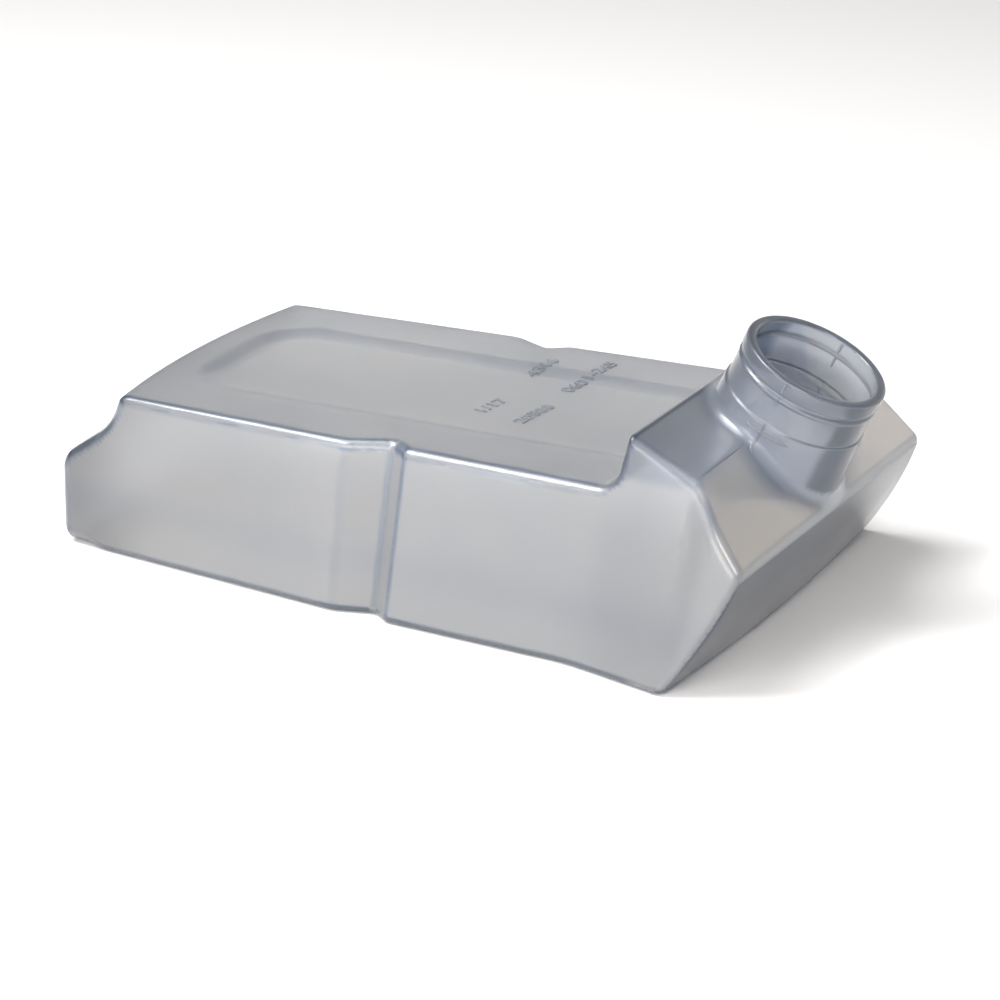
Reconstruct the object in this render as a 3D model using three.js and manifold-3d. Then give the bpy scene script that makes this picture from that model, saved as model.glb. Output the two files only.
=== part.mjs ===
// Flat urine bottle, lying on its base: one thin polyethylene moulding with an open tilted neck.
// Millimetres. +X runs from the rear of the tank to the neck, +Z is up, the base is at z = 0,
// and the bottle is the same on both sides of the plane y = 0.
// The moulding is laid out as its named walls, with a hairline gap between neighbours.
import * as THREE from 'three';
import { mergeVertices } from 'three/addons/utils/BufferGeometryUtils.js';
import Module from 'manifold-3d';

// Walls
const WALL = 1.5; // thickness of the moulding
const GAP = 0.3; // hairline between neighbouring walls

// Side profile, in the plane of symmetry
const BASE_Z = 0;
const DECK_Z = 59.5; // flat top of the tank
const REAR_X = -138.4; // foot of the rear wall, at its ends
const REAR_BOW = 5.8; // how far the rear bulges out at the middle
const REAR_HALF_WIDTH = 62; // where the bow comes to nothing
const LEDGE_LOW = [-137.1, 32.4]; // rear edge of the sloping ledge
const LEDGE_HIGH = [-116.3, 47.2]; // foot of the step between ledge and deck
const DROP_HIGH = [-111.9, 58.1]; // top of that step, below the rounded end of the deck
const DECK_REAR_X = -109.5;
const STEP_FOOT_X = 74.5; // front end of the deck
const STEP_LOW = [78.2, 60.7]; // the step up to the snout starts as a hollow curve
const STEP_HIGH = [80.2, 64.0];
const CREST = [82.8, 78.0]; // top edge of the snout
const RIDGE_X = 109.0; // bend between the snout's two sloping facets
const RIDGE_Z = 68.9;
const RIDGE_CROWN = 2.8; // how far the ridge drops at its ends
const RIDGE_HALF_WIDTH = 65;
const NOSE = [130.0, 41.7]; // front edge of the snout
const TOE_X = 105.9; // front edge of the base, at its ends
const TOE_BOW = 4.0;
const TOE_HALF_WIDTH = 86.5;

// Plan: half-widths at the base and at the height where each corner line ends above
const SIDE_LINES = {
  tail: { low: [-151.6, 54.3], high: [-151.6, 58.7], z: DECK_Z },
  notch_start: { low: [-23.1, 70.6], high: [-20.0, 64.2], z: DECK_Z },
  notch_deep: { low: [-8.8, 66.6], high: [-5.7, 57.4], z: DECK_Z },
  notch_end: { low: [-2.0, 71.9], high: [1.1, 62.3], z: DECK_Z },
  flare: { low: [67.0, 76.1], high: [CREST[0], 62.4], z: CREST[1] },
  cheek_rear: { low: [105.9, 86.5], high: [RIDGE_X, 65.3], z: 66.1 },
  cheek_bend: { low: [107.4, 86.6], high: [118.7, 72.2], z: 57.4 },
  beyond: { low: [149.3, 88.4], high: [149.3, 73.6], z: 57.4 },
};
const PLAN_BOTTOM = -5; // the plan is drawn from below the base to above the rim
const PLAN_TOP = 115;

// Recessed panel in the deck
const PANEL_REAR_X = -103;
const PANEL_FRONT_X = 68;
const PANEL_HALF_WIDTH = 33;
const PANEL_CORNER = 18;
const PANEL_DEPTH = 1.2;

// Neck, measured along its axis from the rim down
const RIM_CENTRE = [121.7, 0, 90.7];
const NECK_TILT = 25.6; // degrees from upright, towards +X
const RIM_RADIUS = 25.0;
const MOUTH_RADIUS = 21.65;
const LIP_HEIGHT = 5.4;
const LIP_EDGE = 0.7; // bevel on the lip's edges
const LIP_SLOPE = 1.5; // height of the taper where the lip's bore meets the tube's
const GROOVE_RADIUS = 24.0;
const GROOVE_HEIGHT = 1.4;
const NECK_RADIUS = 24.5;
const NECK_SLOPE = 0.8; // height of the tapers below the groove and above the step
const NECK_STEP_AT = 17.4;
const NECK_STEP_RADIUS = 25.2;
const NECK_FOOT_RADIUS = 26.4;
const NECK_FOOT_AT = 46;
const NECK_SIDES = 48;

const WELD_DISTANCE = 1e-4; // corners closer than this are one corner

const wasm = await Module();
wasm.setup();

// A closed three.js geometry as a solid that can be cut and joined.
function toSolid(geometry) {
  const bare = geometry.clone();
  bare.deleteAttribute('normal');
  bare.deleteAttribute('uv');
  const merged = mergeVertices(bare, WELD_DISTANCE);
  const corners = merged.index.array;
  const triangles = [];
  for (let i = 0; i < corners.length; i += 3) {
    const [a, b, c] = [corners[i], corners[i + 1], corners[i + 2]];
    if (a !== b && b !== c && c !== a) {
      triangles.push(a, b, c);
    }
  }
  return new wasm.Manifold(
    new wasm.Mesh({
      numProp: 3,
      vertProperties: new Float32Array(merged.attributes.position.array),
      triVerts: new Uint32Array(triangles),
    }),
  );
}

function toGeometry(solid) {
  const mesh = solid.getMesh();
  const geometry = new THREE.BufferGeometry();
  geometry.setAttribute('position', new THREE.BufferAttribute(new Float32Array(mesh.vertProperties), 3));
  geometry.setIndex(new THREE.BufferAttribute(new Uint32Array(mesh.triVerts), 1));
  geometry.computeVertexNormals();
  return geometry;
}

// The triangles of an outline's end face, which may be of any shape.
function freeCap(outline) {
  const points = outline.map(([u, v]) => new THREE.Vector2(u, v));
  return THREE.ShapeUtils.triangulateShape(points, []);
}

// The triangles of the end face of an outline whose second half runs back beside its first.
function ladderCap(outline) {
  const last = outline.length - 1;
  const triangles = [];
  for (let i = 0; i < (last - 1) / 2; i += 1) {
    triangles.push([i, i + 1, last - i - 1], [i, last - i - 1, last - i]);
  }
  return triangles;
}

// A closed body through outlines of equal length, which must turn anticlockwise seen from the last one.
function loft(outlines, place, cap) {
  const count = outlines[0].length;
  const positions = [];
  const faces = [];
  outlines.forEach((outline, level) => {
    outline.forEach(([u, v]) => positions.push(...place(u, v, level)));
  });
  for (let level = 0; level + 1 < outlines.length; level += 1) {
    for (let i = 0; i < count; i += 1) {
      const a = level * count + i;
      const b = level * count + ((i + 1) % count);
      faces.push(a, b, b + count, a, b + count, a + count);
    }
  }
  const last = (outlines.length - 1) * count;
  cap(outlines[0]).forEach(([a, b, c]) => faces.push(c, b, a));
  cap(outlines[outlines.length - 1]).forEach(([a, b, c]) => faces.push(last + a, last + b, last + c));
  const geometry = new THREE.BufferGeometry();
  geometry.setAttribute('position', new THREE.Float32BufferAttribute(positions, 3));
  geometry.setIndex(faces);
  return toSolid(geometry);
}

// An anticlockwise outline moved inwards by the same distance on every side.
function inset(outline, distance) {
  const count = outline.length;
  return outline.map(([x, y], i) => {
    const before = outline[(i + count - 1) % count];
    const after = outline[(i + 1) % count];
    const inward = (from, to) => {
      const length = Math.hypot(to[0] - from[0], to[1] - from[1]);
      return [-(to[1] - from[1]) / length, (to[0] - from[0]) / length];
    };
    const [ax, ay] = inward(before, [x, y]);
    const [bx, by] = inward([x, y], after);
    const reach = distance / (1 + ax * bx + ay * by);
    return [x + (ax + bx) * reach, y + (ay + by) * reach];
  });
}

// Side profile of the outside at distance y from the plane of symmetry, anticlockwise in X and Z.
const PROFILE_CORNERS = {};
function profileAt(y) {
  const rear = -REAR_BOW * (1 - (y / REAR_HALF_WIDTH) ** 2);
  const toe = TOE_BOW * (1 - (y / TOE_HALF_WIDTH) ** 2);
  const ridgeDrop = RIDGE_CROWN * (y / RIDGE_HALF_WIDTH) ** 2;
  const points = [];
  const corner = (name, x, z) => {
    PROFILE_CORNERS[name] = points.length;
    points.push([x, z]);
  };
  corner('heel', REAR_X + rear, BASE_Z);
  corner('toe', TOE_X + toe, BASE_Z);
  corner('nose', NOSE[0], NOSE[1]);
  corner('ridge', RIDGE_X, RIDGE_Z - ridgeDrop);
  corner('crest', CREST[0], CREST[1]);
  corner('step_high', STEP_HIGH[0], STEP_HIGH[1]);
  corner('step_low', STEP_LOW[0], STEP_LOW[1]);
  corner('deck_front', STEP_FOOT_X, DECK_Z);
  corner('deck_rear', DECK_REAR_X + rear, DECK_Z);
  corner('drop_high', DROP_HIGH[0] + rear, DROP_HIGH[1]);
  corner('ledge_high', LEDGE_HIGH[0] + rear, LEDGE_HIGH[1]);
  corner('ledge_low', LEDGE_LOW[0] + rear, LEDGE_LOW[1]);
  return points;
}

const SECTION_REACH = 100;
const SECTION_STEP = 10;
const SECTIONS = [];
for (let y = -SECTION_REACH; y <= SECTION_REACH; y += SECTION_STEP) {
  SECTIONS.push(y);
}

// X and Z turn anticlockwise seen from -Y, so the sections are lofted from +Y to -Y.
function acrossBottle(outlineAt) {
  const ys = [...SECTIONS].reverse();
  return loft(ys.map(outlineAt), (x, z, level) => [x, ys[level], z], freeCap);
}

// Plan of the outside at height z, anticlockwise: forwards along -Y, back along +Y.
// Each stretch between corner lines is drawn in equal steps, because the sides are twisted surfaces.
const SIDE_NAMES = Object.keys(SIDE_LINES);
const STRETCH_STEPS = 8;
const SIDE_POINTS = (SIDE_NAMES.length - 1) * STRETCH_STEPS + 1;
function planAt(z) {
  const corners = SIDE_NAMES.map((name) => {
    const { low, high, z: top } = SIDE_LINES[name];
    const share = z / top;
    return [low[0] + (high[0] - low[0]) * share, -(low[1] + (high[1] - low[1]) * share)];
  });
  const right = [];
  for (let i = 0; i < SIDE_POINTS; i += 1) {
    const stretch = Math.min(Math.floor(i / STRETCH_STEPS), corners.length - 2);
    const share = i / STRETCH_STEPS - stretch;
    const [from, to] = [corners[stretch], corners[stretch + 1]];
    right.push([from[0] + (to[0] - from[0]) * share, from[1] + (to[1] - from[1]) * share]);
  }
  const left = right.map(([x, y]) => [x, -y]).reverse();
  return [...right, ...left];
}

const PLAN_STEP = 10;
const LEVELS = [];
for (let z = PLAN_BOTTOM; z <= PLAN_TOP; z += PLAN_STEP) {
  LEVELS.push(z);
}

function upBottle(outlineAt) {
  return loft(LEVELS.map(outlineAt), (x, y, level) => [x, y, LEVELS[level]], ladderCap);
}

// The stretch of a wall between two corners, short of each end by half a gap.
function strip(outer, inner, from, to) {
  const run = (points) => {
    const part = points.slice(from, to + 1);
    const pulledIn = (end, next) => {
      const share = (GAP / 2) / Math.hypot(next[0] - end[0], next[1] - end[1]);
      return [end[0] + (next[0] - end[0]) * share, end[1] + (next[1] - end[1]) * share];
    };
    const first = pulledIn(part[0], part[1]);
    const last = pulledIn(part[part.length - 1], part[part.length - 2]);
    return [first, ...part.slice(1, -1), last];
  };
  return [...run(outer), ...run(inner).reverse()];
}

const outside = acrossBottle(profileAt);
const betweenSides = upBottle((z) => inset(planAt(z), WALL + GAP));

// A wall that runs across the bottle between its sides, from one profile corner to the next named one.
function crossWall(from, to) {
  const closed = (outline) => [...outline, outline[0]];
  const end = to === 'heel' ? profileAt(0).length : PROFILE_CORNERS[to];
  const wall = acrossBottle((y) => {
    const outline = profileAt(y);
    return strip(closed(outline), closed(inset(outline, WALL)), PROFILE_CORNERS[from], end);
  });
  return wall.intersect(betweenSides);
}

// A stretch of a side wall between two corner lines. Right is -Y, and left is its mirror image.
function sideWall(side, from, to) {
  const pointOf = (corner) => SIDE_NAMES.indexOf(corner) * STRETCH_STEPS;
  const wall = upBottle((z) => {
    const outline = planAt(z);
    return strip(outline, inset(outline, WALL), pointOf(from), pointOf(to));
  });
  const right = wall.intersect(outside);
  return side === 'right' ? right : right.mirror([0, 1, 0]);
}

// The deck with its shallow recessed panel, which runs out to the foot of the snout.
function deckWall() {
  const pocket = (margin, low, high) => {
    const rear = PANEL_REAR_X - margin;
    const half = PANEL_HALF_WIDTH + margin;
    const corner = PANEL_CORNER + margin;
    const shape = new THREE.Shape();
    shape.moveTo(PANEL_FRONT_X + margin, -half);
    shape.lineTo(PANEL_FRONT_X + margin, half);
    shape.lineTo(rear + corner, half);
    shape.absarc(rear + corner, half - corner, corner, Math.PI / 2, Math.PI, false);
    shape.absarc(rear + corner, corner - half, corner, Math.PI, 1.5 * Math.PI, false);
    shape.closePath();
    const depth = high - low;
    const geometry = new THREE.ExtrudeGeometry(shape, { depth, bevelEnabled: false, curveSegments: 6 });
    return toSolid(geometry.translate(0, 0, low));
  };
  const floorTop = DECK_Z - PANEL_DEPTH;
  const floor = pocket(WALL, floorTop - WALL, DECK_Z - WALL / 2);
  const plate = crossWall('deck_front', 'deck_rear');
  return plate.add(floor).subtract(pocket(0, floorTop, DECK_Z + WALL));
}

// A body of revolution about the neck's axis, from a closed outline of [distance below the rim, radius].
function aboutNeck(outline) {
  const points = [...outline, outline[0]].map(([below, radius]) => new THREE.Vector2(radius, -below));
  const geometry = new THREE.LatheGeometry(points, NECK_SIDES);
  geometry.rotateX(Math.PI / 2);
  geometry.rotateY(THREE.MathUtils.degToRad(NECK_TILT));
  geometry.translate(...RIM_CENTRE);
  return toSolid(geometry);
}

const NECK_OUTSIDE = [
  [LIP_HEIGHT + GAP, GROOVE_RADIUS],
  [LIP_HEIGHT + GROOVE_HEIGHT, GROOVE_RADIUS],
  [LIP_HEIGHT + GROOVE_HEIGHT + NECK_SLOPE, NECK_RADIUS],
  [NECK_STEP_AT - NECK_SLOPE, NECK_RADIUS],
  [NECK_STEP_AT, NECK_STEP_RADIUS],
  [NECK_FOOT_AT, NECK_FOOT_RADIUS],
];

function neckTube() {
  const bore = NECK_OUTSIDE.map(([below, radius]) => [below, radius - WALL]);
  return aboutNeck([...NECK_OUTSIDE, ...bore.reverse()].reverse()).intersect(aboveFacets());
}

// The space above the inner faces of the snout's two facets, carried on past both ends.
function aboveFacets() {
  const REACH = 40;
  const CEILING = 130;
  const beyond = (from, through) => {
    const share = REACH / Math.hypot(through[0] - from[0], through[1] - from[1]);
    return [through[0] + (through[0] - from[0]) * share, through[1] + (through[1] - from[1]) * share];
  };
  return acrossBottle((y) => {
    const inner = inset(profileAt(y), WALL);
    const ridge = inner[PROFILE_CORNERS.ridge];
    const rear = beyond(ridge, inner[PROFILE_CORNERS.crest]);
    const front = beyond(ridge, inner[PROFILE_CORNERS.nose]);
    return [rear, ridge, front, [front[0], CEILING], [rear[0], CEILING]];
  });
}

function neckLip() {
  return aboutNeck([
    [0, MOUTH_RADIUS + LIP_EDGE],
    [LIP_EDGE, MOUTH_RADIUS],
    [LIP_HEIGHT - LIP_SLOPE, MOUTH_RADIUS],
    [LIP_HEIGHT, GROOVE_RADIUS - WALL],
    [LIP_HEIGHT, RIM_RADIUS - LIP_EDGE],
    [LIP_HEIGHT - LIP_EDGE, RIM_RADIUS],
    [LIP_EDGE, RIM_RADIUS],
    [0, RIM_RADIUS - LIP_EDGE],
  ]);
}

// The space that the neck takes out of the snout's facets.
function neckHole() {
  const around = NECK_OUTSIDE.map(([below, radius]) => [below, radius + GAP]);
  return aboutNeck([[LIP_HEIGHT, 0], ...around, [NECK_FOOT_AT, 0]].reverse());
}

// Colours of the clear moulding: thin walls look pale, the thick rim and the facets look bluer.
const CLEAR_PALE = 0xc9ccd2;
const CLEAR_BLUE = 0xa9b1bf;
const CLEAR_WARM = 0xbab5ad;

const bottle = new THREE.Group();
function wall(name, solid, colour) {
  const [body] = solid.decompose().sort((a, b) => b.volume() - a.volume()); // drops slivers left by the cuts
  const material = new THREE.MeshStandardMaterial({ color: colour, roughness: 0.32, metalness: 0 });
  const mesh = new THREE.Mesh(toGeometry(body), material);
  mesh.name = name;
  bottle.add(mesh);
}

wall('base_wall', crossWall('heel', 'toe'), CLEAR_PALE);
wall('front_wall', crossWall('toe', 'nose'), CLEAR_BLUE);
wall('snout_front_facet', crossWall('nose', 'ridge').subtract(neckHole()), CLEAR_WARM);
wall('snout_rear_facet', crossWall('ridge', 'crest').subtract(neckHole()), CLEAR_BLUE);
wall('snout_step', crossWall('crest', 'deck_front'), CLEAR_PALE);
wall('tank_deck', deckWall(), CLEAR_PALE);
wall('rear_step', crossWall('deck_rear', 'ledge_high'), CLEAR_PALE);
wall('rear_ledge', crossWall('ledge_high', 'ledge_low'), CLEAR_PALE);
wall('rear_wall', crossWall('ledge_low', 'heel'), CLEAR_PALE);
['right', 'left'].forEach((side) => {
  wall(`${side}_rear_side`, sideWall(side, 'tail', 'notch_start'), CLEAR_PALE);
  wall(`${side}_grip_notch`, sideWall(side, 'notch_start', 'notch_end'), CLEAR_PALE);
  wall(`${side}_front_side`, sideWall(side, 'notch_end', 'cheek_rear'), CLEAR_PALE);
  wall(`${side}_cheek`, sideWall(side, 'cheek_rear', 'beyond'), CLEAR_PALE);
});
wall('neck_tube', neckTube(), CLEAR_BLUE);
wall('neck_lip', neckLip(), CLEAR_BLUE);

export default bottle;
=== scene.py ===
"""Looks of the flat urine bottle: one continuous thin moulding of cloudy clear polyethylene.

The moulding is the level surface of a rounded signed distance, in millimetres, in the frame of the
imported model: a side profile cut by the plan of the sides, joined to the neck by a fillet. Its outer
and inner skins are cut square to the neck's axis and closed there by a turned neck.
"""
import math

import bmesh
import bpy
import numpy as np
from mathutils import Matrix, Vector


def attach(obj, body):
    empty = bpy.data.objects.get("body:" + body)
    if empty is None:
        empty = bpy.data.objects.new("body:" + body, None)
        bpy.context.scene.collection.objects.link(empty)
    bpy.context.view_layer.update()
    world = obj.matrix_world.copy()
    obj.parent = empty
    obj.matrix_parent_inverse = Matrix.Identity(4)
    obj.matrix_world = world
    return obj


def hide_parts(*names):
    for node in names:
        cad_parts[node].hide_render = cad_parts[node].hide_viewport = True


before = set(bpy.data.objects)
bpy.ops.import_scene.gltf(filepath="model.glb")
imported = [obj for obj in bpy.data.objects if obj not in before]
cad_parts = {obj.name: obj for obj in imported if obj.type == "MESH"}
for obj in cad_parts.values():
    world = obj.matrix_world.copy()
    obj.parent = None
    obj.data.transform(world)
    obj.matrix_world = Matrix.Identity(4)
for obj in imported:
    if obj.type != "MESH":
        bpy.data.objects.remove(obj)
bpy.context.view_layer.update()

MM = 0.001

# Side profile as (x, z) corners, in millimetres. The rear end and the toe bow out from theirs.
REAR_FOOT = (-138.4, 0.0)
LEDGE_LOW = (-137.1, 32.4)
LEDGE_HIGH = (-116.3, 47.2)
DROP_TOP = (-111.9, 58.1)
STEP_FOOT = (79.3, 59.5)
CREST = (82.8, 78.0)
RIDGE = (109.0, 68.9)
NOSE = (130.0, 41.7)
TOE_X = 105.9
DECK_Z = 59.5
DECK_END_X = 95.0
WALL = 1.5

# How far the rear end and the toe bow out and the ridge is crowned, with the half-width that each does so
# over, and how far the front wall bulges
REAR_BOW = 5.8
REAR_HALF_WIDTH = 62.0
TOE_BOW = 4.0
TOE_HALF_WIDTH = 86.5
RIDGE_CROWN = 2.8
RIDGE_HALF_WIDTH = 65.0
FRONT_BULGE = 1.6

# Radii of the rounded edges and of the fillets. Each extra radius fades in between its two places.
RIDGE_ROUND = 1.1
CREST_ROUND = 1.8
STEP_FILLET = 6.0
LEDGE_FILLET = 3.2
DROP_ROUND = 2.8
REAR_ROUND = 3.6
NOSE_ROUND = 2.6
SIDE_ROUND = 3.0
CHEEK_EXTRA = 0.6
CHEEK_EXTRA_X = (90, 110)
CHEEK_EXTRA_Z = (30, 50)
BASE_ROUND = 2.4
REAR_BASE_EXTRA = 3.6
REAR_BASE_EXTRA_X = (-120, -132)

# Corner lines of the plan: (x, half-width) at the base, the same at height z, z, half the rounded stretch
SIDE_LINES = [
    ((-151.6, 54.3), (-151.6, 58.7), 59.5, 1.0),
    ((-23.1, 70.6), (-20.0, 64.2), 59.5, 2.4),
    ((-8.8, 66.6), (-5.7, 57.4), 59.5, 1.4),
    ((-2.0, 71.9), (1.1, 62.3), 59.5, 1.0),
    ((67.0, 76.1), (82.8, 62.4), 78.0, 6.0),
    ((105.9, 86.5), (109.0, 65.3), 66.1, 3.0),
    ((107.4, 86.6), (118.7, 72.2), 57.4, 3.0),
    ((149.3, 88.4), (149.3, 73.6), 57.4, 1.0),
]

# Recessed panel of the deck, which runs on under the snout
PANEL_REAR_X = -100.0
PANEL_FRONT_X = 131.0
PANEL_HALF_WIDTH = 34.0
PANEL_CORNER = 18.0
PANEL_DEPTH = 1.5
PANEL_BORDER = 5.5

# Neck, measured along its axis from the rim down. Its tube reaches a little way under the snout's top.
RIM = np.array([121.7, 0.0, 90.7])
TILT = math.radians(25.6)
AXIS = np.array([math.sin(TILT), 0.0, math.cos(TILT)])
ACROSS = np.array([math.cos(TILT), 0.0, -math.sin(TILT)])
SIDEWAYS = np.array([0.0, 1.0, 0.0])
NECK_CUT = 19.5
NECK_RADIUS = 25.2
NECK_FOOT_RADIUS = 26.4
NECK_FOOT_AT = 46.0
NECK_TAPER_REACH = (-1, 1.2)
NECK_UNDER_SNOUT = 9.0
NECK_FILLET = 3.6
NECK_SIDES = 180

# The neck's outline, outside to inside, by way of the groove, the lip and the bore: (below the rim, radius)
NECK_OUTLINE = [
    (19.0, 25.2), (18.2, 25.2), (17.75, 25.14), (17.5, 25.0), (17.3, 24.75), (17.1, 24.57), (16.8, 24.5),
    (14.0, 24.5), (11.0, 24.5), (8.7, 24.5), (8.3, 24.56), (7.95, 24.74), (7.55, 24.84), (7.15, 24.74),
    (6.85, 24.5), (6.5, 24.2), (6.1, 24.06), (5.75, 24.12), (5.52, 24.36), (5.38, 24.66), (5.15, 24.88),
    (4.8, 24.98), (3.0, 25.0), (1.1, 25.0), (0.62, 24.93), (0.28, 24.74), (0.07, 24.42), (0.0, 24.05),
    (0.0, 23.3), (0.0, 22.6), (0.07, 22.24), (0.27, 21.93), (0.6, 21.72), (1.0, 21.65), (2.6, 21.65),
    (4.2, 21.65), (4.9, 21.72), (5.5, 21.98), (6.1, 22.34), (6.8, 22.6), (7.6, 22.72), (9.6, 22.85),
    (12.5, 22.95), (15.4, 23.0), (16.8, 23.05), (17.4, 23.2), (17.9, 23.5), (18.4, 23.66), (19.0, 23.7),
]

# Grid of the outer skin: (start, end, cell) stretches, finer where the shape turns. Y is mirrored. The inner
# skin's cells are larger.
GRID_X = [(-147, -98, 1.3), (-98, -26, 3.5), (-26, -12, 1.4), (-12, 4, 0.8), (4, 68, 3.5), (68, 98, 1.3),
          (98, 137, 0.9)]
GRID_Y = [(0, 22, 2.8), (22, 36, 1.6), (36, 52, 2.8), (52, 66, 1.3), (66, 91, 0.85)]
GRID_Z = [(-3, 5, 0.8), (5, 30, 1.5), (30, 56, 1.4), (56, 62, 1.0), (62, 88, 1.3)]
INNER_COARSENESS = 1.8


def ease(t):
    t = np.clip(t, 0, 1)
    return t * t * (3 - 2 * t)


def rise(value, start, end):
    """Eased from 0 at start to 1 at end, and flat past both. The start may be the larger."""
    return ease((value - start) / (end - start))


def line(a, b, x, z):
    """Signed distance to the line a-b in the side profile, positive on its left as it runs from a to b."""
    dx, dz = b[0] - a[0], b[1] - a[1]
    return ((z - a[1]) * dx - (x - a[0]) * dz) / np.sqrt(dx * dx + dz * dz)


def cut_round(a, b, r):
    """Both a and b, with their shared edge rounded."""
    u, v = np.maximum(a + r, 0), np.maximum(b + r, 0)
    return np.minimum(-r, np.maximum(a, b)) + np.sqrt(u * u + v * v)


def join_round(a, b, r):
    """Either a or b, with a fillet where they meet."""
    return -cut_round(-a, -b, r)


def half_width(x, z):
    """Half-width of the plan at (x, z), with its corners rounded."""
    xs, ws = [], []
    for low, high, top, _ in SIDE_LINES:
        share = z / top
        xs.append(low[0] + (high[0] - low[0]) * share)
        ws.append(low[1] + (high[1] - low[1]) * share)
    slopes = [(ws[i + 1] - ws[i]) / (xs[i + 1] - xs[i]) for i in range(len(xs) - 1)]
    w = ws[0] + slopes[0] * (x - xs[0])
    for i in range(1, len(slopes)):
        half = SIDE_LINES[i][3]
        t = x - xs[i]
        kink = np.where(t > half, t, np.where(t < -half, 0, (t + half) ** 2 / (4 * half)))
        w = w + (slopes[i] - slopes[i - 1]) * kink
    return w


def side(x, y, z):
    """Distance to the two long sides."""
    step = 0.5
    w = half_width(x, z)
    wx = (half_width(x + step, z) - half_width(x - step, z)) / (2 * step)
    wz = (half_width(x, z + step) - half_width(x, z - step)) / (2 * step)
    return (np.abs(y) - w) / np.sqrt(1 + wx * wx + wz * wz)


def panel(x, y):
    """How far the deck is sunk at (x, y), from 0 to 1."""
    half_length = (PANEL_FRONT_X - PANEL_REAR_X) / 2
    u = np.abs(x - PANEL_REAR_X - half_length) - half_length + PANEL_CORNER
    v = np.abs(y) - PANEL_HALF_WIDTH + PANEL_CORNER
    edge = np.hypot(np.maximum(u, 0), np.maximum(v, 0)) + np.minimum(np.maximum(u, v), 0) - PANEL_CORNER
    return ease(0.5 - edge / (2 * PANEL_BORDER))


def snout_top(x, y, z):
    """Distance to the snout's two sloping facets."""
    ridge = (RIDGE[0], RIDGE[1] - RIDGE_CROWN * (y / RIDGE_HALF_WIDTH) ** 2)
    return cut_round(line(CREST, ridge, x, z), line(ridge, NOSE, x, z), RIDGE_ROUND)


def body(x, y, z):
    """Distance to the closed body without its neck."""
    snout = cut_round(snout_top(x, y, z), line(STEP_FOOT, CREST, x, z), CREST_ROUND)
    deck = np.maximum(z - DECK_Z + PANEL_DEPTH * panel(x, y), x - DECK_END_X)
    top = join_round(deck, snout, STEP_FILLET)
    bowed_x = x + REAR_BOW * (1 - (y / REAR_HALF_WIDTH) ** 2)
    drop = line(LEDGE_HIGH, DROP_TOP, bowed_x, z)
    ledge = line(LEDGE_LOW, LEDGE_HIGH, bowed_x, z)
    top = cut_round(top, join_round(drop, ledge, LEDGE_FILLET), DROP_ROUND)
    ends = cut_round(top, line(REAR_FOOT, LEDGE_LOW, bowed_x, z), REAR_ROUND)
    toe = TOE_X + TOE_BOW * (1 - (y / TOE_HALF_WIDTH) ** 2)
    share = np.clip(z / NOSE[1], 0, 1)
    front = -line((toe, 0.0), NOSE, x, z) - 4 * FRONT_BULGE * share * (1 - share)
    ends = cut_round(ends, front, NOSE_ROUND)
    cheek = rise(x, *CHEEK_EXTRA_X) * rise(z, *CHEEK_EXTRA_Z)
    shell = cut_round(ends, side(x, y, z), SIDE_ROUND + CHEEK_EXTRA * cheek)
    return cut_round(shell, -z, BASE_ROUND + REAR_BASE_EXTRA * rise(x, *REAR_BASE_EXTRA_X))


def outside(p):
    """Signed distance from the moulding's outside, for points in rows."""
    x, y, z = p[..., 0], p[..., 1], p[..., 2]
    dx, dz = x - RIM[0], z - RIM[2]
    below = -(dx * AXIS[0] + dz * AXIS[2])
    off = dx * ACROSS[0] + dz * ACROSS[2]
    radius = np.hypot(off, y)
    along = (below - NECK_CUT) / (NECK_FOOT_AT - NECK_CUT)
    tube = radius - NECK_RADIUS - (NECK_FOOT_RADIUS - NECK_RADIUS) * np.clip(along, *NECK_TAPER_REACH)
    tube = np.maximum(tube, -snout_top(x, y, z) - NECK_UNDER_SNOUT)
    return join_round(body(x, y, z), tube, NECK_FILLET)


def gradient(p, step=0.02):
    """The way the distance from the outside grows, at points in rows."""
    out = np.empty_like(p)
    for i in range(3):
        d = np.zeros(3)
        d[i] = step
        out[:, i] = (outside(p + d) - outside(p - d)) / (2 * step)
    return out


def unit(vectors):
    return vectors / np.linalg.norm(vectors, axis=1)[:, None]


def bend(p, step=1.0):
    """How sharply the outside is curved at points in rows, per millimetre. Hollows are negative."""
    total = -6 * outside(p)
    for i in range(3):
        d = np.zeros(3)
        d[i] = step
        total += outside(p + d) + outside(p - d)
    return total / (step * step)


def pulled(points, level, rounds):
    """Points moved onto the surface that lies the level's distance inside the outside."""
    for _ in range(rounds):
        g = gradient(points)
        f = outside(points) + level
        points = points - g * (f / (g * g).sum(1))[:, None]
    return points


def axis_points(stretches, coarseness):
    """Grid planes along one axis, from (start, end, cell) stretches."""
    out = []
    for start, end, cell in stretches:
        count = max(1, round((end - start) / (cell * coarseness)))
        out.extend(np.linspace(start, end, count + 1)[:-1])
    out.append(stretches[-1][1])
    return np.array(out)


def crossed_cells(inside, n):
    """The grid's cells that the zero level crosses, and a grid of their numbers."""
    corners = [(i, j, k) for i in (0, 1) for j in (0, 1) for k in (0, 1)]
    count = sum(inside[i:i + n[0], j:j + n[1], k:k + n[2]].astype(np.int8) for i, j, k in corners)
    cells = np.argwhere((count > 0) & (count < 8))
    number = -np.ones(n, np.int64)
    number[tuple(cells.T)] = np.arange(len(cells))
    return cells, number


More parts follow.
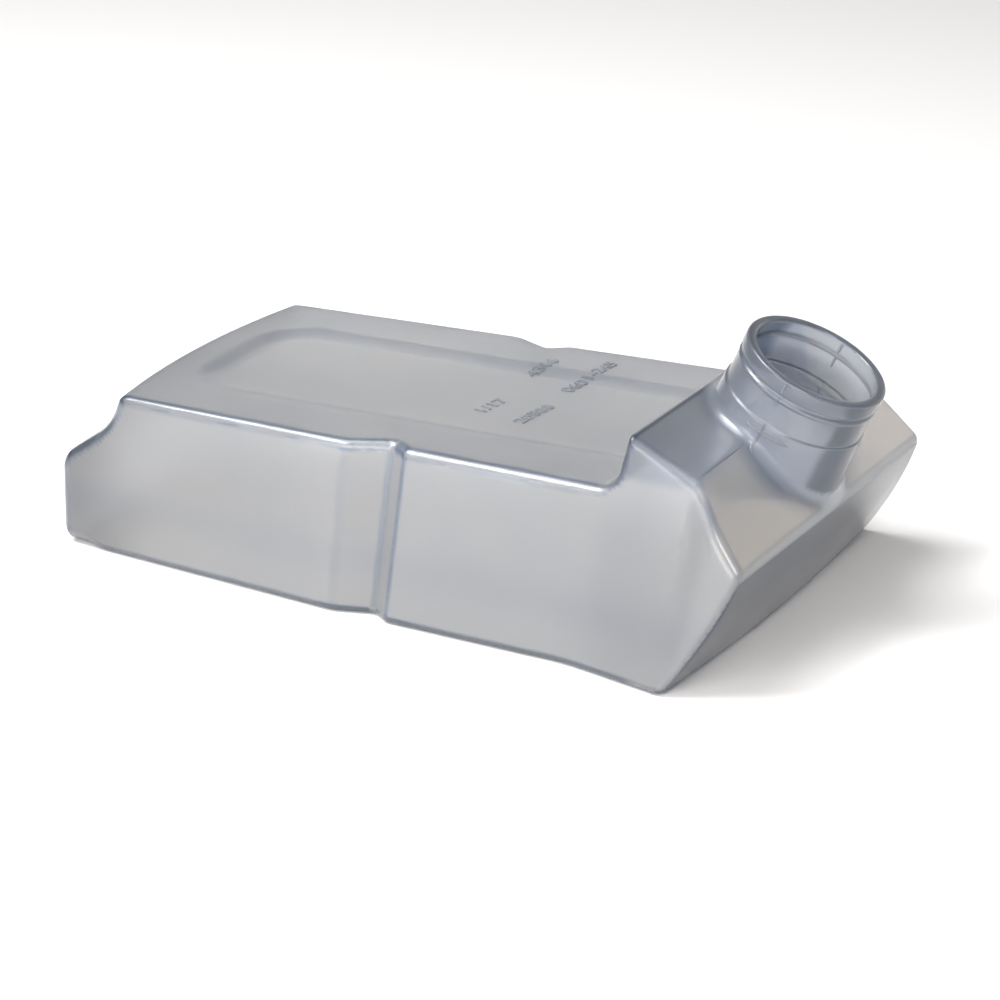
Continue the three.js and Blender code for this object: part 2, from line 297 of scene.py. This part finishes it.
def cell_points(field, axes, cells):
    """One point for each cell: the mean of the places where the zero level crosses its edges."""
    total, hits = np.zeros((len(cells), 3)), np.zeros(len(cells))
    for d in range(3):
        e, f = [a for a in range(3) if a != d]
        for s, t in ((0, 0), (0, 1), (1, 0), (1, 1)):
            a = cells.copy()
            a[:, e] += s
            a[:, f] += t
            b = a.copy()
            b[:, d] += 1
            fa, fb = field[tuple(a.T)], field[tuple(b.T)]
            cross = (fa < 0) != (fb < 0)
            share = np.where(cross, fa / np.where(cross, fa - fb, 1), 0)
            for m in range(3):
                pa, pb = axes[m][a[:, m]], axes[m][b[:, m]]
                total[:, m] += np.where(cross, pa + (pb - pa) * share, 0)
            hits += cross
    return total / hits[:, None]


def surface_net(field, axes):
    """Corner points and quads of the zero level of a field on a box grid, wound to face outwards."""
    inside = field < 0
    n = [len(a) - 1 for a in axes]
    cells, number = crossed_cells(inside, n)
    quads = []
    for d in range(3):
        e, f = (d + 1) % 3, (d + 2) % 3
        low = np.take(inside, range(n[d]), axis=d)
        high = np.take(inside, range(1, n[d] + 1), axis=d)
        edges = np.argwhere(low != high)
        edges = edges[(edges[:, e] > 0) & (edges[:, f] > 0) & (edges[:, e] < n[e]) & (edges[:, f] < n[f])]
        around = []
        for s, t in ((1, 1), (0, 1), (0, 0), (1, 0)):
            c = edges.copy()
            c[:, e] -= s
            c[:, f] -= t
            around.append(number[tuple(c.T)])
        quad = np.stack(around, 1)
        leaving = low[tuple(edges.T)]
        quads.append(quad[leaving])
        quads.append(quad[~leaving][:, ::-1])
    return cell_points(field, axes, cells), np.concatenate(quads)


def skin(level, coarseness):
    """Points and quads of the surface that lies the level's distance inside the outside."""
    xs = axis_points(GRID_X, coarseness)
    right_ys = axis_points(GRID_Y, coarseness)
    ys = np.concatenate([-right_ys[:0:-1], right_ys])
    zs = axis_points(GRID_Z, coarseness)
    grid = np.stack(np.meshgrid(xs, ys, zs, indexing="ij"), -1)
    points, quads = surface_net(outside(grid) + level, (xs, ys, zs))
    return pulled(points, level, rounds=4), quads


def neck_frame(p):
    """Distance below the rim, distance from the neck's axis and angle round it, for points in rows."""
    d = p - RIM
    off = d @ ACROSS
    return -(d @ AXIS), np.hypot(off, d[..., 1]), np.arctan2(d[..., 1], off)


def turn_of(points):
    return neck_frame(points)[2]


def out_of_neck(turns):
    """The way out from the neck's axis at angles round it."""
    return np.cos(turns)[:, None] * ACROSS + np.sin(turns)[:, None] * SIDEWAYS


def cut_at_neck(points, quads):
    """A skin cut square to the neck's axis: its points, its faces and the cut's points in order round it."""
    mesh = bpy.data.meshes.new("cut")
    mesh.from_pydata(points.tolist(), [], quads.tolist())
    bm = bmesh.new()
    bm.from_mesh(mesh)
    bpy.data.meshes.remove(mesh)
    geometry = bm.verts[:] + bm.edges[:] + bm.faces[:]
    place, facing = Vector(RIM - AXIS * NECK_CUT), Vector(AXIS)
    bmesh.ops.bisect_plane(bm, geom=geometry, dist=1e-4, plane_co=place, plane_no=facing, clear_outer=True)
    bm.verts.index_update()
    points = np.array([v.co for v in bm.verts])
    faces = [[v.index for v in f.verts] for f in bm.faces]
    rim = sorted({v.index for e in bm.edges if e.is_boundary for v in e.verts})
    bm.free()
    return points, faces, [rim[i] for i in np.argsort(turn_of(points[rim]))]


def neck_rings():
    """Points and normals of the turned neck, one ring for each point of its outline."""
    outline = np.array(NECK_OUTLINE)
    along = np.gradient(outline, axis=0)
    facing = unit(np.stack([-along[:, 1], along[:, 0]], 1))
    out = out_of_neck(-math.pi + 2 * math.pi * np.arange(NECK_SIDES) / NECK_SIDES)
    points = RIM - outline[:, 0, None, None] * AXIS + outline[:, 1, None, None] * out
    normals = facing[:, 0, None, None] * AXIS - facing[:, 1, None, None] * out
    return points, normals


def ring_quads(first, rings, sides):
    """Quads between neighbouring rings of points, which are numbered from the first on."""
    faces = []
    for k in range(rings - 1):
        a = first + k * sides
        for i in range(sides):
            j = (i + 1) % sides
            faces.append([a + i, a + j, a + sides + j, a + sides + i])
    return faces


def zip_rings(a, turn_a, b, turn_b):
    """Triangles between two rings of points that run the same way round the neck."""
    turn_a = [*turn_a, turn_a[0] + 2 * math.pi, math.inf]
    turn_b = [*turn_b, turn_b[0] + 2 * math.pi, math.inf]
    faces = []
    i = j = 0
    while i < len(a) or j < len(b):
        if turn_a[i + 1] <= turn_b[j + 1]:
            faces.append([a[i % len(a)], a[(i + 1) % len(a)], b[j % len(b)]])
            i += 1
        else:
            faces.append([a[i % len(a)], b[(j + 1) % len(b)], b[j % len(b)]])
            j += 1
    return faces


def moulding():
    """The whole thin wall as one closed mesh: its points, their normals and its faces."""
    outer, outer_faces, outer_cut = cut_at_neck(*skin(0.0, 1.0))
    inner, inner_faces, inner_cut = cut_at_neck(*skin(WALL, INNER_COARSENESS))
    rings, ring_normals = neck_rings()
    first_inner = len(outer)
    first_ring = first_inner + len(inner)
    last_ring = first_ring + (len(rings) - 1) * NECK_SIDES
    faces = outer_faces + [[first_inner + v for v in reversed(f)] for f in inner_faces]
    faces += ring_quads(first_ring, len(rings), NECK_SIDES)
    # The rings start at -pi, where an angle may also come out as pi
    turns = turn_of(rings[0])
    turns[0] = -math.pi
    ring = range(first_ring, first_ring + NECK_SIDES)
    faces += zip_rings(outer_cut, turn_of(outer[outer_cut]), ring, turns)
    ring = range(last_ring, last_ring + NECK_SIDES)
    closing = zip_rings([first_inner + v for v in inner_cut], turn_of(inner[inner_cut]), ring, turns)
    faces += [f[::-1] for f in closing]
    points = np.concatenate([outer, inner, rings.reshape(-1, 3)])
    normals = np.concatenate([gradient(outer), -gradient(inner), ring_normals.reshape(-1, 3)])
    return points, unit(normals), faces


# Tint, from 0 for pale to 1 for deep blue-grey: its strength on each feature. Most of it is painted shade:
# along edges and in hollows, on the neck and round its foot, on the snout's rear facet, on the front wall,
# on the deck's border and the panel's sloping edge, and on the numerals and mould lines. The front wall's is
# that of its foot, and what is added by low and high up. The band, a darker blue, lies low along the long
# sides. The warmth is painted warm light, taken off the tint; the neck's grey is painted shade.
EDGE_PAINTED_SHADE = 0.9
NECK_PAINTED_SHADE = 0.45
BORE_SHARE = 0.05
REAR_FACET_PAINTED_SHADE = 0.3
FRONT_PAINTED_SHADE = (0.44, 0.3, 0.3)
DECK_PAINTED_SHADE = 0.08
PANEL_SLOPE_PAINTED_SHADE = 0.5
BAND_TINT = 0.09
BAND_Z = 19
BAND_HALF = 8
PAINTED_WARM_LIGHT = 0.12
INNER_SHARE = 0.4
INNER_NECK_LOSS = 0.7
NECK_PAINTED_GREY = 0.3
MARK_PAINTED_SHADE = 0.33
LINE_PAINTED_SHADE = 0.25

# Edges, painted shade along rounded edges and in hollow corners: the least curvature that tints, how fast
# the tint grows with it, and the share on each kind of edge
EDGE_FROM = 0.06
EDGE_GAIN = 2.4
NOTCH_GAIN = 2
SIDE_EDGE = 0.8
RIDGE_LOSS = 0.7
HOLLOW_EDGE = 0.6
NOTCH_HOLLOW = 0.4
FACING_UP = 0.3
FACING_REAR = (-0.3, 0.1)

# Where each feature's tint fades, as (none, full) of x, z, a distance or a part of the normal
NOTCH_REAR_X = (-32, -26)
NOTCH_FRONT_X = (12, 6)
NOTCH_UPRIGHT = (0.3, 0.2)
TOP_EDGE_UP = (0.58, 0.83)
RIDGE_NEAR = (6, 3)
RIDGE_Z = (60, 64)
CHEEK_X = (90, 98)
CHEEK_UPRIGHT = (0.5, 0.3)
NECK_NEAR = (41, 27)
NECK_BELOW = (50, 30)
FACET_REAR_X = (80, 84)
FACET_FRONT_X = (110.5, 107.5)
FACET_Z = (62, 66)
FRONT_AHEAD = (0.6, 0.8)
FRONT_DOWN = (-0.1, -0.3)
FRONT_LOW_Z = (6, 20)
FRONT_HIGH_Z = (20, 38)
TOP_Z = (56, 58)
TOP_X = (78, 70)
BAND_SIDEWAYS = (0.6, 0.9)
WARM_AHEAD = (0.5, 0.7)
WARM_UP = (0.3, 0.5)
REAR_SHADE_X = (-95, -140)

# Points of the turned neck lie above its cut and near its axis, and those of its bore nearer still
CUT_MARGIN = 0.5
NECK_WITHIN = 30
BORE_WITHIN = 23.9
BORE_BELOW = 0.6


def painted_edge_shade(points, normals):
    """How deep the painted shade is along rounded edges and in hollow corners, from 0 to 1."""
    x, z = points[:, 0], points[:, 2]
    nx, nz = normals[:, 0], normals[:, 2]
    notch = rise(x, *NOTCH_REAR_X) * rise(x, *NOTCH_FRONT_X) * rise(np.abs(nz), *NOTCH_UPRIGHT)
    ridge = rise(np.abs(x - RIDGE[0]), *RIDGE_NEAR) * rise(z, *RIDGE_Z)
    cheek = rise(x, *CHEEK_X) * rise(np.abs(nz), *CHEEK_UPRIGHT)
    # Rounded top edges get painted shade only on their upper side, so the lower side stays pale under the
    # highlight; the ridge gets less, edges facing the rear get full shade and the cheek edges get none
    rounded = np.where(nz > FACING_UP, rise(nz, *TOP_EDGE_UP), SIDE_EDGE) * (1 - RIDGE_LOSS * ridge)
    rounded = np.where((nx < FACING_REAR[0]) & (nz > FACING_REAR[1]), 1, rounded) * (1 - cheek)
    # Hollow corners get painted shade, less of it in the notch
    hollow = np.where(notch > 0.5, NOTCH_HOLLOW, HOLLOW_EDGE)
    curve = bend(points)
    sharp = np.clip((np.abs(curve) - EDGE_FROM) * (EDGE_GAIN + NOTCH_GAIN * notch), 0, 1)
    return sharp * np.where(curve > 0, rounded, hollow)


def tints(points, normals):
    """The blue-grey tint, mostly painted shade less painted warm light, and the grey of painted shade, at
    points in rows.
    """
    x, y, z = points.T
    nx, ny, nz = normals.T
    below, radius, _ = neck_frame(points)
    turned = (below < NECK_CUT + CUT_MARGIN) & (radius < NECK_WITHIN)
    bore = turned & (radius < BORE_WITHIN) & (below > BORE_BELOW)
    inner = outside(points) < -WALL / 2

    edge = np.where(turned, 0, painted_edge_shade(points, normals))
    # Painted shade on the turned neck and round its foot, with little of it in the bore
    neck = rise(radius, *NECK_NEAR) * rise(below, *NECK_BELOW)
    neck = np.where(turned, np.where(bore, BORE_SHARE, 1), neck)
    # Painted shade on the snout's rear sloping facet
    facet = rise(x, *FACET_REAR_X) * rise(x, *FACET_FRONT_X) * rise(z, *FACET_Z)
    # Painted shade on the front wall, which overhangs and faces down, deeper higher up
    front = rise(nx, *FRONT_AHEAD) * rise(nz, *FRONT_DOWN)
    foot_tint, low_tint, high_tint = FRONT_PAINTED_SHADE
    front_shade = foot_tint + low_tint * rise(z, *FRONT_LOW_Z) + high_tint * rise(z, *FRONT_HIGH_Z)
    # Painted shade on the deck's raised border, and more on the panel's sloping edge
    sunk = panel(x, y)
    border = DECK_PAINTED_SHADE * (1 - sunk) + PANEL_SLOPE_PAINTED_SHADE * sunk * (1 - sunk)
    deck = rise(z, *TOP_Z) * rise(x, *TOP_X) * border
    features = [EDGE_PAINTED_SHADE * edge, NECK_PAINTED_SHADE * neck, REAR_FACET_PAINTED_SHADE * facet, front_shade * front, deck]
    band = np.exp(-((z - BAND_Z) / BAND_HALF) ** 2) * rise(np.abs(ny), *BAND_SIDEWAYS)
    tint_and_painted_light = np.maximum.reduce(features) + BAND_TINT * band

    tint_and_painted_light = np.where(inner & ~turned, INNER_SHARE * tint_and_painted_light * (1 - INNER_NECK_LOSS * neck), tint_and_painted_light)
    # Painted warm light, which takes tint away on faces turned forward and up and in the neck's bore
    warm = rise(nx, *WARM_AHEAD) * rise(nz, *WARM_UP) * (1 - neck)
    warm = np.where(turned, bore, warm)
    tint_and_painted_light = tint_and_painted_light - PAINTED_WARM_LIGHT * warm * (1 - edge)
    # Painted shade as grey: at the rear end, on the front wall and on the outside of the neck
    painted_shade_grey = np.maximum.reduce([rise(x, *REAR_SHADE_X), front, NECK_PAINTED_GREY * neck * ~inner])
    return tint_and_painted_light, painted_shade_grey


# Numerals: (text, middle x, middle y, length, height), running across the deck towards +Y
MARKS = [
    ("1/17", 4.3, -5.6, 15.0, 4.8),
    ("20500", 21.3, -7.0, 21.0, 4.6),
    ("4306", 2.5, 36.4, 16.5, 4.8),
    ("0601-245", 21.6, 35.0, 32.0, 5.0),
]
MARK_TURN = math.radians(84)
MARK_RISE = 0.3

# Thickness and bevel of a text one unit high, before it is fitted to its length and height
MARK_EXTRUDE = 0.04
MARK_BEVEL = 0.02


def numerals():
    """Small generic numerals such as a mould leaves, lying on the deck's panel and its border."""
    points, faces = [], []
    for text, x, y, length, height in MARKS:
        curve = bpy.data.curves.new("numerals", "FONT")
        curve.body = text
        curve.extrude = MARK_EXTRUDE
        curve.bevel_depth = MARK_BEVEL
        curve.bevel_resolution = 2
        thing = bpy.data.objects.new("numerals", curve)
        mesh = bpy.data.meshes.new_from_object(thing)
        p = np.array([v.co for v in mesh.vertices])
        faces += [[v + len(points) for v in f.vertices] for f in mesh.polygons]
        low, high = p.min(0), p.max(0)
        p = (p - (low + high) / 2) / (high - low) * (length, height, 2 * MARK_RISE)
        px = x + math.cos(MARK_TURN) * p[:, 0] - math.sin(MARK_TURN) * p[:, 1]
        py = y + math.sin(MARK_TURN) * p[:, 0] + math.cos(MARK_TURN) * p[:, 1]
        pz = DECK_Z - PANEL_DEPTH * panel(px, py) + p[:, 2]
        points.extend(np.stack([px, py, pz], 1).tolist())
        bpy.data.objects.remove(thing)
        bpy.data.curves.remove(curve)
        bpy.data.meshes.remove(mesh)
    return np.array(points), faces


# Mould lines. Each stretch down the neck: (below the rim from, to, points, radius, width)
NECK_LINES = [(21.0, 17.4, 12, 25.2, 0.9), (8.2, 7.0, 6, 24.7, 0.8), (5.0, 1.2, 12, 25.0, 0.8)]
BORE_LINES = [(1.0, 4.4, 12, 21.65, 0.8), (6.6, 11.0, 12, 22.8, 0.8)]
LINE_HEIGHT = 0.3

# Over the ridge: (y from, to, points), width, height
RIDGE_LINE = ((62, 29, 40), 0.7, 0.16)

# Up the neck's foot: (below the rim from, to, points), radius to start from, width, height
RISE_LINE = ((31, 20.5, 24), 27.0, 1.0, 0.34)

# Pinched weld across it: (angle from, to, points), below the rim, radius to start from, width, height
WELD_LINE = ((-0.24, 0.4, 30), 20.6, 25.6, 1.1, 0.42)
BEAD_SIDES = 10
BEAD_TAPER = 8
BEAD_TIP = 0.02


def bead(path, facing, width, height):
    """A thin raised line along a path, half sunk in the surface that faces the given way."""
    along = unit(np.gradient(path, axis=0))
    sideways = unit(np.cross(facing, along))
    turns = 2 * math.pi * np.arange(BEAD_SIDES) / BEAD_SIDES
    share = np.arange(len(path)) / (len(path) - 1)
    taper = np.sqrt(np.clip(1 - (2 * share - 1) ** BEAD_TAPER, BEAD_TIP, 1))[:, None, None]
    section = np.cos(turns)[None, :, None] * sideways[:, None] * width / 2
    section = section + np.sin(turns)[None, :, None] * facing[:, None] * height
    rings = path[:, None] + taper * section
    last = (len(path) - 1) * BEAD_SIDES
    ends = [list(range(BEAD_SIDES))[::-1], list(range(last, last + BEAD_SIDES))]
    return rings.reshape(-1, 3), ends + ring_quads(0, len(path), BEAD_SIDES)


def on_skin(path):
    """The nearest points of the moulding's outside to a path, and the way the outside faces there."""
    path = pulled(path, 0, rounds=8)
    return path, unit(gradient(path))


def on_neck(turn, below, radius):
    """Points at angles round the neck's axis, depths below the rim and distances from the axis."""
    turn, below, radius = np.broadcast_arrays(turn, below, radius)
    out = out_of_neck(turn)
    return RIM - below[:, None] * AXIS + radius[:, None] * out, out


def mould_lines():
    """The parting line over the snout's ridge and the neck, with the pinched weld at the neck's foot."""
    beads = []
    for hand in (-1, 1):
        quarter = hand * math.pi / 2
        stretch, width, height = RIDGE_LINE
        ridge_y = hand * np.linspace(*stretch)
        ridge = np.stack([np.full_like(ridge_y, RIDGE[0]), ridge_y, np.full_like(ridge_y, RIDGE[1])], 1)
        beads.append((*on_skin(ridge), width, height))
        stretch, radius, width, height = RISE_LINE
        up_foot, _ = on_neck(quarter, np.linspace(*stretch), radius)
        beads.append((*on_skin(up_foot), width, height))
        stretch, below, radius, width, height = WELD_LINE
        weld, _ = on_neck(quarter - hand * np.linspace(*stretch), below, radius)
        beads.append((*on_skin(weld), width, height))
        for start, end, count, radius, width in NECK_LINES:
            path, out = on_neck(quarter, np.linspace(start, end, count), radius)
            beads.append((path, out, width, LINE_HEIGHT))
        for start, end, count, radius, width in BORE_LINES:
            path, out = on_neck(quarter, np.linspace(start, end, count), radius)
            beads.append((path, -out, width, LINE_HEIGHT))
    points, faces = [], []
    for row in beads:
        bead_points, bead_faces = bead(*row)
        faces += [[v + len(points) for v in f] for f in bead_faces]
        points.extend(bead_points.tolist())
    return np.array(points), faces


# Plastic: colours from pale to deep, as (tint, colour). The warm palest is painted warm light and the deep
# blue-greys are mostly painted shade. Then the painted shade that multiplies them where it is grey
PLASTIC_COLOURS = [
    (0.0, (1.0, 0.97, 0.92, 1)),
    (0.12, (0.94, 0.94, 0.94, 1)),
    (0.65, (0.42, 0.50, 0.64, 1)),
    (1.0, (0.20, 0.26, 0.38, 1)),
]
PAINTED_SHADE_COLOUR = (0.56, 0.56, 0.57, 1)
CLOUD_SCALE = 16
CLOUD_MIDDLE = (0.3, 0.7)
CLOUD_TINT = (0.08, 0.19)
NOISE_DETAIL = 2
ROUGHNESS = (0.28, 0.36)
RIPPLE_SCALE = 65
RIPPLE_STRENGTH = 0.2
RIPPLE_HEIGHT = 0.0006
PLASTIC_VALUES = {
    "IOR": 1.5,
    "Transmission Weight": 0.88,
    "Coat Weight": 0.55,
    "Coat Roughness": 0.1,
    "Coat IOR": 1.5,
}
ABSORPTION_COLOUR = (0.49, 0.53, 0.59, 1)
ABSORPTION_DENSITY = 300


def set_values(node, values):
    for name, value in values.items():
        node.inputs[name].default_value = value


def fill_ramp(node, stops):
    """Gives a colour ramp its stops, as (position, colour)."""
    elements = node.color_ramp.elements
    elements.remove(elements[1])
    elements[0].position, elements[0].color = stops[0]
    for position, colour in stops[1:]:
        elements.new(position).color = colour


def add_layer(tree, name):
    layer = tree.nodes.new("ShaderNodeAttribute")
    layer.attribute_name = name
    return layer.outputs["Fac"]


def add_noise(tree, scale):
    """Noise over the object's own coordinates."""
    place = tree.nodes.new("ShaderNodeTexCoord")
    noise = tree.nodes.new("ShaderNodeTexNoise")
    set_values(noise, {"Scale": scale, "Detail": NOISE_DETAIL})
    tree.links.new(place.outputs["Object"], noise.inputs["Vector"])
    return noise.outputs["Fac"]


def add_range(tree, value, source, target):
    """A value spread from the source range over the target range."""
    spread = tree.nodes.new("ShaderNodeMapRange")
    set_values(spread, {"From Min": source[0], "From Max": source[1]})
    set_values(spread, {"To Min": target[0], "To Max": target[1]})
    tree.links.new(value, spread.inputs["Value"])
    return spread.outputs["Result"]


def add_product(tree, factor, a):
    """The node that multiplies colour a by its B, as far as the factor says."""
    product = tree.nodes.new("ShaderNodeMix")
    product.data_type, product.blend_type = "RGBA", "MULTIPLY"
    if factor is None:
        product.inputs["Factor"].default_value = 1
    else:
        tree.links.new(factor, product.inputs["Factor"])
    tree.links.new(a, product.inputs["A"])
    return product


def plastic():
    """Cloudy clear polyethylene, coloured by a blue-grey tint that is mostly painted shade, paled by painted
    warm light, and by a grey of painted shade.
    """
    material = bpy.data.materials.new("cloudy_polyethylene")
    material.use_nodes = True
    tree = material.node_tree
    shader = tree.nodes["Principled BSDF"]
    set_values(shader, PLASTIC_VALUES)

    cloud = add_noise(tree, CLOUD_SCALE)
    total = tree.nodes.new("ShaderNodeMath")
    # The tint layer, painted shade and painted warm light with random cloud added, picks the colour
    tree.links.new(add_layer(tree, "tint_and_painted_light"), total.inputs[0])
    tree.links.new(add_range(tree, cloud, CLOUD_MIDDLE, CLOUD_TINT), total.inputs[1])
    colour = tree.nodes.new("ShaderNodeValToRGB")
    fill_ramp(colour, PLASTIC_COLOURS)
    tree.links.new(total.outputs["Value"], colour.inputs["Fac"])
    # Painted shade: the grey layer darkens the colour
    greyed = add_product(tree, add_layer(tree, "painted_shade_grey"), colour.outputs["Color"])
    greyed.inputs["B"].default_value = PAINTED_SHADE_COLOUR
    tree.links.new(greyed.outputs["Result"], shader.inputs["Base Color"])
    tree.links.new(add_range(tree, cloud, (0, 1), ROUGHNESS), shader.inputs["Roughness"])

    bump = tree.nodes.new("ShaderNodeBump")
    set_values(bump, {"Strength": RIPPLE_STRENGTH, "Distance": RIPPLE_HEIGHT})
    tree.links.new(add_noise(tree, RIPPLE_SCALE), bump.inputs["Height"])
    tree.links.new(bump.outputs["Normal"], shader.inputs["Normal"])

    absorption = tree.nodes.new("ShaderNodeVolumeAbsorption")
    set_values(absorption, {"Color": ABSORPTION_COLOUR, "Density": ABSORPTION_DENSITY})
    tree.links.new(absorption.outputs["Volume"], tree.nodes["Material Output"].inputs["Volume"])
    return material


def link_new(name, data):
    """A new object in the scene."""
    thing = bpy.data.objects.new(name, data)
    bpy.context.scene.collection.objects.link(thing)
    return thing


def to_object(name, points, faces, normals=None):
    """A smooth mesh object from points in millimetres."""
    mesh = bpy.data.meshes.new(name)
    mesh.from_pydata((points * MM).tolist(), [], faces)
    mesh.validate()
    mesh.shade_smooth()
    if normals is not None:
        mesh.normals_split_custom_set_from_vertices(normals.tolist())
    return link_new(name, mesh)


def tinted(thing, tint_and_painted_light, painted_shade_grey):
    """Writes the two layers, the tint and the grey, that carry the painted shade and painted warm light the
    plastic reads.
    """
    for name, values in (("tint_and_painted_light", tint_and_painted_light), ("painted_shade_grey", painted_shade_grey)):
        layer = thing.data.attributes.new(name, "FLOAT", "POINT")
        layer.data.foreach_set("value", np.broadcast_to(values, len(thing.data.vertices)).astype(np.float32))


# Pieces
points, normals, faces = moulding()
bottle = to_object("bottle_moulding", points, faces, normals)
tinted(bottle, *tints(points, normals))
deck_marks = to_object("deck_numerals", *numerals())
# Painted shade: the numerals are tinted darker all over
tinted(deck_marks, MARK_PAINTED_SHADE, 0)
lines = to_object("mould_lines", *mould_lines())
# Painted shade: the mould lines are tinted darker all over
tinted(lines, LINE_PAINTED_SHADE, 0)

cloudy = plastic()
for piece in (bottle, deck_marks, lines):
    piece.data.materials.clear()
    piece.data.materials.append(cloudy)
    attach(piece, "root")
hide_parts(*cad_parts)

# Floor, in metres, just under the base
FLOOR_Z = -0.0003
FLOOR_REACH = 4
FLOOR_COLOUR = (0.85, 0.85, 0.85, 1)
FLOOR_ROUGHNESS = 0.9

floor_mesh = bpy.data.meshes.new("floor")
floor_corners = [(-1, -1), (1, -1), (1, 1), (-1, 1)]
floor_points = [(FLOOR_REACH * x, FLOOR_REACH * y, FLOOR_Z) for x, y in floor_corners]
floor_mesh.from_pydata(floor_points, [], [(0, 1, 2, 3)])
floor = link_new("floor", floor_mesh)
paper = bpy.data.materials.new("pale_floor")
paper.use_nodes = True
paper_shader = paper.node_tree.nodes["Principled BSDF"]
set_values(paper_shader, {"Base Color": FLOOR_COLOUR, "Roughness": FLOOR_ROUGHNESS})
floor.data.materials.append(paper)

# Camera at the photograph's viewing angle, as millimetres to the right, up and back from the aim
AZIMUTH = math.radians(27.24)
ELEVATION = math.radians(20.37)
ROLL = math.radians(0.13)
CAMERA_AIM = (1.15, 0, 0)
CAMERA_RIGHT = 3.148
CAMERA_UP = 19.722
CAMERA_BACK = 1397.05
CAMERA_LENS = 144.18
CAMERA_SENSOR = 36

level = math.cos(ELEVATION)
back = Vector((level * math.sin(AZIMUTH), -level * math.cos(AZIMUTH), math.sin(ELEVATION)))
level_right = Vector((math.cos(AZIMUTH), math.sin(AZIMUTH), 0))
level_up = back.cross(level_right)
right = level_right * math.cos(ROLL) + level_up * math.sin(ROLL)
up = level_up * math.cos(ROLL) - level_right * math.sin(ROLL)
place = (right * CAMERA_RIGHT + up * CAMERA_UP + back * CAMERA_BACK + Vector(CAMERA_AIM)) * MM
camera_data = bpy.data.cameras.new("camera")
camera_data.lens = CAMERA_LENS
camera_data.sensor_width = CAMERA_SENSOR
camera = link_new("camera", camera_data)
camera.matrix_world = Matrix.Translation(place) @ Matrix((right, up, back)).transposed().to_4x4()
bpy.context.scene.camera = camera

# Soft lights, in metres and watts: (name, place, aim, (width, height), power, colour)
LIGHTS = [
    ("key", (-0.45, -0.3, 1.35), (0, 0, 0.03), (1.0, 1.0), 18, (1.0, 0.99, 0.98)),
    ("left_edge", (-0.62, -0.46, 1.15), (0, 0, 0.05), (0.5, 0.4), 10, (1.0, 0.98, 0.95)),
    ("right_edge", (0.75, -0.58, 1.07), (0.1, 0, 0.05), (0.35, 0.35), 5, (1.0, 0.93, 0.84)),
    ("front", (0.0, -1.8, 0.85), (0, 0, 0.03), (2.0, 0.9), 44, (1.0, 0.98, 0.96)),
    ("card", (0.75, 1.3, 0.52), (0.1, 0, 0.05), (0.9, 0.5), 1.4, (1.0, 0.80, 0.60)),
]


def soft_light(name, place, aim, size, power, colour):
    data = bpy.data.lights.new(name, "AREA")
    data.shape = "RECTANGLE"
    data.size, data.size_y = size
    data.energy = power
    data.color = colour
    light = link_new(name, data)
    light.location = place
    light.rotation_euler = (Vector(aim) - Vector(place)).to_track_quat("-Z", "Y").to_euler()
    return light


lights = {row[0]: soft_light(*row) for row in LIGHTS}

# From behind, the front light's reflection would turn the deck white
lights["front"].visible_glossy = False

# World: (position, colour) from below to above, and from the rear end's side to the front end's
WHITE = (1, 1, 1, 1)
WORLD_HEIGHTS = [(0.38, WHITE), (0.52, (0.16, 0.17, 0.19, 1))]
WORLD_SIDES = [(0.05, (0.3, 0.31, 0.33, 1)), (0.22, WHITE), (0.7, WHITE), (0.85, (0.25, 0.26, 0.28, 1))]
WORLD_STRENGTH = 0.72


def studio_world():
    """A white backdrop low round the object, darker above it and beyond both of its ends."""
    world = bpy.data.worlds.new("studio")
    world.use_nodes = True
    tree = world.node_tree
    place = tree.nodes.new("ShaderNodeTexCoord")
    split = tree.nodes.new("ShaderNodeSeparateXYZ")
    tree.links.new(place.outputs["Generated"], split.inputs[0])
    heights = tree.nodes.new("ShaderNodeValToRGB")
    fill_ramp(heights, WORLD_HEIGHTS)
    tree.links.new(split.outputs["Z"], heights.inputs["Fac"])
    sides = tree.nodes.new("ShaderNodeValToRGB")
    fill_ramp(sides, WORLD_SIDES)
    tree.links.new(add_range(tree, split.outputs["X"], (-1, 1), (0, 1)), sides.inputs["Fac"])
    both = add_product(tree, None, heights.outputs["Color"])
    tree.links.new(sides.outputs["Color"], both.inputs["B"])
    background = tree.nodes["Background"]
    tree.links.new(both.outputs["Result"], background.inputs["Color"])
    background.inputs["Strength"].default_value = WORLD_STRENGTH
    return world


bpy.context.scene.world = studio_world()
bpy.context.scene.view_settings.view_transform = "Standard"
